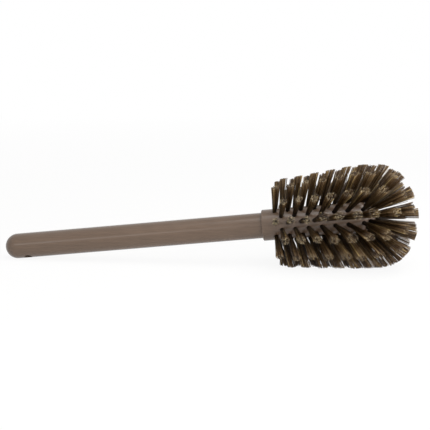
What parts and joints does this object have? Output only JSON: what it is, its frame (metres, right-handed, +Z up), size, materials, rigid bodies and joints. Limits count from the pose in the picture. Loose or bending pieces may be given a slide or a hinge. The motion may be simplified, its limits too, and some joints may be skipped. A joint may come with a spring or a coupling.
{
  "type": "glass brush",
  "caption": "Round brush for glasses and bottles: a plain rod handle with a hanging hole and a domed core with leaning bristle bundles.",
  "frame": {"origin": "on the table the brush lies on, below the middle of its bounding box", "axes": "+Z up; +X along the brush towards the bristle head, parallel to the table; the hanging hole's lower mouth faces -Y and down"},
  "size_m": [0.3035, 0.0732, 0.0748],
  "materials": {
    "moulded_plastic": "satin moulded polypropylene",
    "bristle": "trimmed polyester filament",
    "anchor_wire": "flat drawn wire"
  },
  "bodies": {
    "root": {"handle": "moulded_plastic", "brush_head": "moulded_plastic", "tuft_row_01": "bristle", "tuft_row_02": "bristle", "tuft_row_03": "bristle", "tuft_row_04": "bristle", "tuft_row_05": "bristle", "tuft_row_06": "bristle", "tuft_row_07": "bristle", "tuft_row_08": "bristle", "tuft_row_09": "bristle", "tuft_row_10": "bristle", "tuft_row_11": "bristle", "tuft_row_12": "bristle", "tuft_row_13": "bristle", "tuft_row_14": "bristle", "tuft_crown": "bristle", "anchor_row_01": "anchor_wire", "anchor_row_02": "anchor_wire", "anchor_row_03": "anchor_wire", "anchor_row_04": "anchor_wire", "anchor_row_05": "anchor_wire", "anchor_row_06": "anchor_wire", "anchor_row_07": "anchor_wire", "anchor_row_08": "anchor_wire", "anchor_row_09": "anchor_wire", "anchor_row_10": "anchor_wire", "anchor_row_11": "anchor_wire", "anchor_row_12": "anchor_wire", "anchor_row_13": "anchor_wire", "anchor_row_14": "anchor_wire", "anchor_crown": "anchor_wire"}
  },
  "joints": []
}
